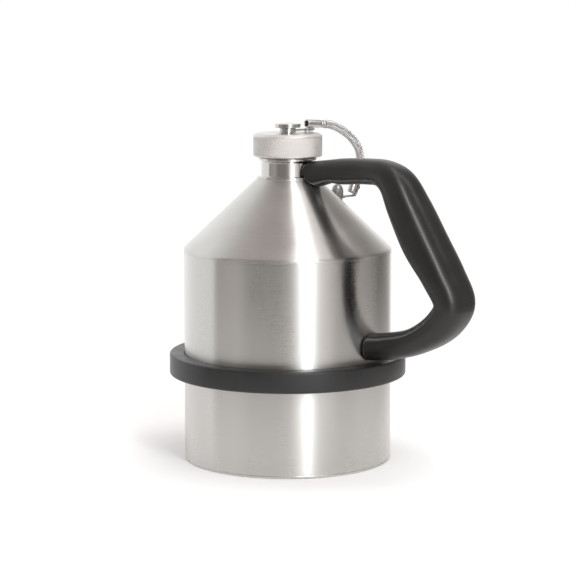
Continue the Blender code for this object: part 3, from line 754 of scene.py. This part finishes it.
def knurl(r, z, a):
    """Diamond knurl: two families of V grooves that cross on the cap's side."""
    if abs(r - CAP_R) > 1e-6 or not KNURL_Z[0] <= z <= KNURL_Z[1]:
        return r
    turn = a * KNURL_TEETH / tau
    climb = z / KNURL_CLIMB
    groove = max(abs((turn + s * climb) % 1.0 - 0.5) * 2 for s in (1, -1))
    return r - KNURL_DEPTH * groove ** 1.2


def cap_finish(corners):
    """A face's material: 0 knurled on the side and its edges, 1 on the top, 2 turned inside."""
    if max(x * x + y * y for x, y, z in corners) > (CAP_R - CAP_TOP_EDGE[0]) ** 2:
        return 0
    return 1 if max(z for x, y, z in corners) > CEILING_Z + 0.2 else 2


def make_cap():
    """Screw cap: knurled side, plain top with a hole for the valve, and a thread inside."""
    low, high = CAP_Z
    profile = [(CAP_HOLE_R, high, 0.15), (CAP_R - CAP_TOP_EDGE[0], high, 0.3),
               (CAP_R, high - CAP_TOP_EDGE[1], 0.25)]
    profile += [(CAP_R, z) for z in np.linspace(KNURL_Z[1], KNURL_Z[0], 41)]
    profile += [(CAP_R, low + CAP_FOOT_EDGE[1], 0.12), (CAP_R - CAP_FOOT_EDGE[0], low, 0.2),
                (CAP_INNER_R + 0.6, low), (CAP_INNER_R, low + 0.6), (CAP_INNER_R, CEILING_Z, 0.3),
                (CAP_HOLE_R, CEILING_Z, 0.1)]
    verts, faces = lathe(rounded(profile), KNURL_TEETH * 4, shape=knurl)
    thread = helix(CAP_INNER_R, CAP_CREST_R, THREAD_START - PITCH / 2)
    cap = piece("cap", [(verts, faces), thread], [KNURLED, CAP_TOP, TURNED], angle=30)
    index = [cap_finish([verts[i] for i in face]) for face in faces]
    index += [2] * (len(cap.data.polygons) - len(index))
    cap.data.polygons.foreach_set("material_index", index)
    settle(cap, "cap", "knurled_stainless", "cap_shell")


def make_valve():
    """Bush that is the eye's pivot, the mushroom head with its stem, and the spring that pulls it down."""
    foot, ledge, top = BUSH_Z
    bush = [(BUSH_R, top, 0.3), (BUSH_R, ledge, 0.1), (BUSH_FLANGE_R, ledge, 0.2), (BUSH_FLANGE_R, foot, 0.2),
            (BUSH_BORE_R, foot, 0.2), (BUSH_BORE_R, top, 0.2)]
    settle(piece("valve_bush_turned", [lathe(rounded(bush), 96)], [TURNED]), "cap", "turned_stainless",
           "valve_bush")

    under, crown = HEAD_Z
    stem = [(0, crown - 0.25), (5.8, crown - 0.25), (6.4, crown, 0.3), (HEAD_R, crown, 0.6),
            (HEAD_R, under, 0.5), (3.1, under), (3.1, under + 1.1), (1.7, under + 1.1), (1.7, under, 0.1),
            (STEM_R, under - 0.1), (STEM_R, STEM_FOOT_Z + 0.3), (STEM_R - 0.3, STEM_FOOT_Z),
            (0, STEM_FOOT_Z)]
    settle(piece("valve_disc", [lathe(rounded(stem, closed=False), 128, closed=False)], [TURNED]),
           "valve", "turned_stainless", "valve_stem")

    per = 48
    low, high = SPRING_Z
    sections = []
    for k in range(SPRING_COILS * per + 1):
        a = tau * k / per
        z = low + (high - low) * k / (SPRING_COILS * per)
        out, up = Vector((cos(a), sin(a), 0)), Vector((0, 0, 1))
        centre = out * SPRING_R + up * z
        sections.append([tuple(centre + out * (SPRING_WIRE * cos(b)) + up * (SPRING_WIRE * sin(b)))
                         for b in np.linspace(0, tau, 12, endpoint=False)])
    coil = piece("valve_coil", [loft(sections)], [PLAIN], angle=60)
    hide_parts("valve_spring")
    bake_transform(coil)


make_cap()
make_valve()


# ================================================================ lanyard fittings

UPPER_RIVET_R, UPPER_RIVET_Z = 18.6, 210.0      # its middle, in the lanyard plane
RIVET_HEAD, RIVET_TIP = 0.8, -1.6               # height of its head, and where its tip ends
POST_AT_R, POST_R = 15.4, 1.8
POST_Z = (205.35, 207.4)
LOWER_STRIP_Z = 162.5
RING_TERMINAL_R, RING_TERMINAL_Z = (2.4, 5.0), (162.0, 163.0)
STUD_R, STUD_TOP = 2.0, 168.6
NUT_Z = (163.3, 167.2)          # foot and where the dome begins
NUT_FLAT_R, NUT_CORNER_R, DOME_R = 3.62, 4.0, 3.4
BEAD_R = 0.5


def ferrule_shape():
    """Crimped sleeve with an open end; the hose butts against its other end."""
    profile = [(0, FERRULE_L), (2.5, FERRULE_L, 0.3), (2.5, 13.3, 0.2), (2.2, 12.9, 0.3), (2.5, 12.4, 0.3),
               (2.5, 11.6, 0.3), (2.2, 11.1, 0.3), (2.5, 10.6, 0.3), (FERRULE_R, 9.8, 0.4),
               (FERRULE_R, 0, 0.35), (FERRULE_BORE_R, 0, 0.25), (FERRULE_BORE_R, 6.5, 0.2), (0, 6.5)]
    return lathe(rounded(profile, closed=False), 48, closed=False)


def strip_shape(path):
    """Flat strip along (r, z) points of the lanyard plane, its long edges rounded."""
    sections = []
    half, soft = STRIP_W / 2, 0.28
    for k, (r, z) in enumerate(path):
        ahead, behind = path[min(k + 1, len(path) - 1)], path[max(k - 1, 0)]
        tangent = Vector((ahead[0] - behind[0], ahead[1] - behind[1])).normalized()
        n = Vector((-tangent.y, tangent.x))
        ring = []
        for side in (1, -1):
            for w, t in ((half - soft, 1), (half, 1 - 2 * soft), (half, -1 + 2 * soft), (half - soft, -1)):
                q = n * (STRIP_T / 2 * t * side)
                ring.append(tuple(in_lanyard_plane(r + q.x, z + q.y, w * side)))
        sections.append(ring)
    return loft(sections)


def rivet_shape(head_z, tip_z):
    """Rivet along z: its head below, its closed tip above."""
    profile = [(0, tip_z + 0.6), (1.2, tip_z + 0.6, 0.4), (1.35, tip_z, 0.1), (1.0, tip_z),
               (1.0, head_z + 0.6), (1.8, head_z + 0.55, 0.2), (1.55, head_z, 0.5), (0, head_z)]
    return lathe(rounded(profile, closed=False), 32, closed=False)


def ring_shape(r_in, r_out, low, high, soft):
    profile = [(r_out, high, soft), (r_out, low, soft), (r_in, low, soft), (r_in, high, soft)]
    return lathe(rounded(profile), 72)


def make_upper_end():
    """Eye that turns on the valve's bush, its strip and pin, and the hose's upper ferrule."""
    strip_z = sum(EYE_Z) / 2 - 0.1
    eye = ring_shape(*EYE_R, *EYE_Z, 0.25)
    strip = strip_shape([(r, strip_z) for r in (EYE_R[0] + 0.9, 12, STRIP_END_R - 0.6, STRIP_END_R)])
    settle(piece("upper_eye", [eye, strip], [PLAIN]), "lanyard_end", "plain_stainless", "upper_terminal")
    sleeve = moved(ferrule_shape(), along(*UPPER_FERRULE))
    settle(piece("upper_sleeve", [sleeve], [CRIMPED]), "lanyard_end", "crimped_stainless", "upper_ferrule")
    place = LANYARD_TURN @ Matrix.Translation((UPPER_RIVET_R, 0, UPPER_RIVET_Z))
    head_z = strip_z - STRIP_T / 2 - RIVET_HEAD - UPPER_RIVET_Z
    rivet = moved(rivet_shape(head_z, RIVET_TIP), place)
    low, high = POST_Z
    post = lathe(rounded([(0, high), (POST_R, high, 0.25), (POST_R, low, 0.25), (0, low)], closed=False), 40,
                 closed=False)
    post = moved(post, LANYARD_TURN @ Matrix.Translation((POST_AT_R, 0, 0)))
    settle(piece("upper_pin", [rivet, post], [PLAIN]), "lanyard_end", "plain_stainless", "upper_rivet")


def make_lower_end():
    """Eye on the shoulder's stud, its strip and pin, and the hose's lower ferrule."""
    strip_z = LOWER_STRIP_Z
    start = Vector(LOWER_FERRULE[0])
    run = (Vector(LOWER_FERRULE[1]) - start).normalized()
    side = Vector((run.y, -run.x)) * (FERRULE_R + GAP + STRIP_T / 2)
    riser = [tuple(start + side + run * d) for d in (0.8, 2.2, 5.0, 8.6, 9.0)]
    path = [(ANCHOR_R + 3.4, strip_z), (start.x + 1.4, strip_z), (start.x + 2.1, strip_z + 0.05),
            (start.x + 2.6, strip_z + 0.3)] + riser
    eye = moved(ring_shape(*RING_TERMINAL_R, *RING_TERMINAL_Z, 0.2), ANCHOR_PLACE)
    # The eye and its strip take the darker steel as painted shade for the dark wedge beside the lower sleeve.
    settle(piece("lower_eye", [eye, strip_shape(path)], [DULL_SHADE_STEEL]), ROOT, "plain_stainless", "lower_terminal")
    sleeve = moved(ferrule_shape(), along(*LOWER_FERRULE))
    settle(piece("lower_sleeve", [sleeve], [CRIMPED]), ROOT, "crimped_stainless", "lower_ferrule")
    seat = start + run * 4.6
    rivet = rivet_shape(-(FERRULE_R + GAP + STRIP_T + RIVET_HEAD), RIVET_TIP)
    rivet = moved(rivet, along(tuple(seat), tuple(seat - side)))
    # The pin is painted near-black as shade for the dark wedge beside the lower sleeve.
    settle(piece("lower_pin", [rivet], [PAINTED_SHADE_STEEL]), ROOT, "plain_stainless", "lower_rivet")


def hexagon(r, z, a):
    """Below the dome, a radius is held in to six flats."""
    return min(r, NUT_FLAT_R / cos((a % (tau / 6)) - tau / 12)) if z < NUT_Z[1] + 0.1 else r


def make_anchor():
    """Stud on the shoulder with its weld bead, and the dome nut that holds the lower eye on it."""
    foot = cone_z(ANCHOR_R + ANCHOR_BOSS_R) + 0.2
    profile = [(0, STUD_TOP), (STUD_R, STUD_TOP, 0.4), (STUD_R, ANCHOR_TOP, 0.15),
               (ANCHOR_BOSS_R, ANCHOR_TOP, 0.35), (ANCHOR_BOSS_R, foot), (0, foot)]
    boss = lathe(rounded(profile, closed=False), 64, closed=False)
    verts = []
    for x, y, z in boss[0]:
        q = in_lanyard_plane(ANCHOR_R, 0) + Vector((x, y, 0))
        floor = cone_z(q.xy.length) + 0.15
        verts.append((q.x, q.y, floor if z < foot + 0.01 else max(z, floor + 0.01)))
    stud = piece("anchor_post", [(verts, boss[1])], [PLAIN])
    settle(stud, ROOT, "plain_stainless", "anchor_stud")

    low, high = NUT_Z
    dome = [((DOME_R + 0.04) * cos(a), high + 0.2 + DOME_R * sin(a)) for a in np.linspace(pi / 2, 0, 14)]
    dome[0] = (0, dome[0][1])
    profile = dome + [(NUT_CORNER_R - 0.3, high), (NUT_CORNER_R, high - 0.3), (NUT_CORNER_R, low + 0.4),
                      (NUT_CORNER_R - 0.3, low), (0, low)]
    body = lathe(profile, 72, closed=False, shape=hexagon)
    nut = piece("anchor_dome_nut", [moved(body, ANCHOR_PLACE)], [DULL_SHADE_STEEL], angle=28)
    settle(nut, ROOT, "turned_stainless", "anchor_nut")

    sections = []
    count = 72
    for k in range(count):
        a = tau * k / count
        centre = in_lanyard_plane(ANCHOR_R, 0) + Vector((cos(a), sin(a), 0)) * (ANCHOR_BOSS_R + 0.1)
        centre.z = cone_z(centre.xy.length) + 0.2
        out = Vector((cos(a), sin(a), 0))
        size = BEAD_R * (1 + 0.12 * sin(12 * a))
        sections.append([tuple(centre + out * (size * cos(b)) + Vector((0, 0, size * sin(b))))
                         for b in np.linspace(0, tau, 8, endpoint=False)])
    settle(piece("anchor_weld_bead", [loft(sections, loop=True)], [WELD], angle=180), ROOT, "plain_stainless")


make_upper_end()
make_lower_end()
make_anchor()


# ================================================================ CAD parts that stay

KEPT = {
    "upper_bracket": BASE_STEEL, "lower_bracket": BASE_STEEL, "upper_handle_screw": PLAIN,
    "lower_handle_screw": PLAIN, "cap_gasket": SEAL, "valve_seal": RUBBER, "spring_nut": PLAIN,
}
for node, finish in KEPT.items():
    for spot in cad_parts[node].material_slots:
        spot.material = finish


# ================================================================ studio

FLOOR_COLOUR = (0.86, 0.86, 0.86)
FLOOR_GLOW = (0.18, 0.03, 0.24)  # for every ray, and more for the eye: at the jug, at the rim
FLOOR_GLOW_R = (0.07, 0.14)
FLOOR_R = 0.36

# Brightness of the room round the jug: degrees from the camera's side, positive to its right.
ROOM = (
    (-180, 1.10), (-150, 1.05), (-120, 0.96), (-90, 0.91), (-86.5, 0.36), (-57, 0.42), (-42, 0.24),
    (-11, 0.24), (2, 0.38), (10, 0.95), (15, 1.60), (28, 1.60), (33, 0.95), (46, 0.70), (58, 0.36),
    (75, 0.28), (86, 0.40), (102, 0.34), (122, 0.16), (138, 0.30), (152, 0.55), (164, 1.10), (180, 1.10),
)
ROOM_PEAK = 2.5
ROOM_WARMTH = (1.0, 0.935, 0.895)
ROOM_FADE = (0.60, 0.97)
CEILING_LEVEL = 0.54
CEILING_WARMTH = (1.0, 0.90, 0.87)
BACKDROP = 1.02                 # what the camera sees behind the jug


def make_floor():
    """White disc under the jug; it glows a little, as the photo's floor is blown out to white."""
    rings, sides = 14, 96
    verts = [(0.0, 0.0, 0.0)]
    for k in range(1, rings + 1):
        r = FLOOR_R * k / rings
        verts += [(r * cos(tau * i / sides), r * sin(tau * i / sides), 0.0) for i in range(sides)]
    faces = [(0, 1 + i, 1 + (i + 1) % sides) for i in range(sides)]
    for k in range(rings - 1):
        a, b = 1 + k * sides, 1 + (k + 1) * sides
        faces += [(a + i, b + i, b + (i + 1) % sides, a + (i + 1) % sides) for i in range(sides)]
    mesh = bpy.data.meshes.new("studio_floor")
    mesh.from_pydata(verts, [], faces)
    mat = bpy.data.materials.new("studio_floor")
    mat.use_nodes = True
    tree = mat.node_tree
    tree.nodes.clear()
    out = tree.nodes.new("ShaderNodeOutputMaterial")
    add = tree.nodes.new("ShaderNodeAddShader")
    matt = tree.nodes.new("ShaderNodeBsdfDiffuse")
    matt.inputs["Color"].default_value = (*FLOOR_COLOUR, 1)
    glow = tree.nodes.new("ShaderNodeEmission")
    reach = tree.nodes.new("ShaderNodeVectorMath")
    reach.operation = "LENGTH"
    tree.links.new(tree.nodes.new("ShaderNodeNewGeometry").outputs["Position"], reach.inputs[0])
    extra = range_node(tree, reach.outputs["Value"], *FLOOR_GLOW_R, *FLOOR_GLOW[1:])
    seen = tree.nodes.new("ShaderNodeLightPath").outputs["Is Camera Ray"]
    tree.links.new(math_node(tree, "MULTIPLY_ADD", seen, extra, FLOOR_GLOW[0]), glow.inputs["Strength"])
    tree.links.new(matt.outputs[0], add.inputs[0])
    tree.links.new(glow.outputs[0], add.inputs[1])
    tree.links.new(add.outputs[0], out.inputs["Surface"])
    mesh.materials.append(mat)
    floor = bpy.data.objects.new("studio_floor", mesh)
    SCENE.collection.objects.link(floor)


def make_room():
    """What the steel mirrors: walls whose level changes with azimuth, fading into an even ceiling."""
    world = bpy.data.worlds.new("studio_room")
    SCENE.world = world
    world.use_nodes = True
    tree = world.node_tree
    tree.nodes.clear()
    new, link = tree.nodes.new, tree.links.new
    turn = new("ShaderNodeMapping")
    turn.inputs["Rotation"].default_value = (0, 0, -CAMERA_TURN)
    link(new("ShaderNodeTexCoord").outputs["Generated"], turn.inputs["Vector"])
    split = new("ShaderNodeSeparateXYZ")
    link(turn.outputs["Vector"], split.inputs["Vector"])
    x, y, z = split.outputs
    angle = math_node(tree, "ARCTAN2", x, math_node(tree, "MULTIPLY", y, -1.0))
    ramp = new("ShaderNodeValToRGB")
    link(math_node(tree, "ADD", math_node(tree, "DIVIDE", angle, tau), 0.5), ramp.inputs["Fac"])
    elements = ramp.color_ramp.elements
    while len(elements) > 1:
        elements.remove(elements[-1])
    for k, (azimuth, level) in enumerate(ROOM):
        at = azimuth / 360 + 0.5
        element = elements[0] if k == 0 else elements.new(at)
        element.position = at
        warm = 0.0 if level > 0.9 else 1.0
        element.color = tuple(level / ROOM_PEAK * (1 + warm * (c - 1)) for c in ROOM_WARMTH) + (1,)
    blend = new("ShaderNodeMix")
    blend.data_type = "RGBA"
    link(range_node(tree, z, *ROOM_FADE, 0.0, 1.0), blend.inputs["Factor"])
    link(ramp.outputs["Color"], blend.inputs[MIX_A])
    blend.inputs[MIX_B].default_value = tuple(CEILING_LEVEL / ROOM_PEAK * c for c in CEILING_WARMTH) + (1,)
    background = new("ShaderNodeBackground")
    link(blend.outputs[MIX_RESULT], background.inputs["Color"])
    background.inputs["Strength"].default_value = ROOM_PEAK
    plain = new("ShaderNodeBackground")
    plain.inputs["Color"].default_value = (1, 1, 1, 1)
    plain.inputs["Strength"].default_value = BACKDROP
    mix = new("ShaderNodeMixShader")
    link(new("ShaderNodeLightPath").outputs["Is Camera Ray"], mix.inputs[0])
    link(background.outputs[0], mix.inputs[1])
    link(plain.outputs[0], mix.inputs[2])
    link(mix.outputs[0], new("ShaderNodeOutputWorld").inputs["Surface"])


def softbox(name, azimuth, elevation, distance, size, power, long_axis=(0, 0, 1)):
    """Area light aimed at the jug; azimuth in degrees from the camera's side, positive to its right.
    Its second side lies along long_axis, given in the camera's level frame."""
    data = bpy.data.lights.new(name, "AREA")
    data.shape = "RECTANGLE"
    data.size, data.size_y = size
    data.energy = power
    a, e = radians(azimuth), radians(elevation)
    back = (TO_CAMERA @ Vector((sin(a) * cos(e), -cos(a) * cos(e), sin(e)))).normalized()
    side = (TO_CAMERA @ Vector(long_axis)).cross(back).normalized()
    long = back.cross(side)
    light = bpy.data.objects.new(name, data)
    SCENE.collection.objects.link(light)
    turn = Matrix((side, long, back)).transposed().to_4x4()
    light.matrix_world = Matrix.Translation(back * distance + Vector((0, 0, 0.12))) @ turn


make_floor()
make_room()
softbox("key_strip", 22, 30, 1.7, (0.26, 1.5), 13.0)
softbox("overhead_strip", 67, 76, 1.5, (0.24, 1.3), 2.9, long_axis=(0, 1, 0))
softbox("side_panel", 95, 52, 1.5, (0.22, 0.9), 1.6)
SCENE.view_settings.view_transform = "Standard"
SCENE.view_settings.look = "None"
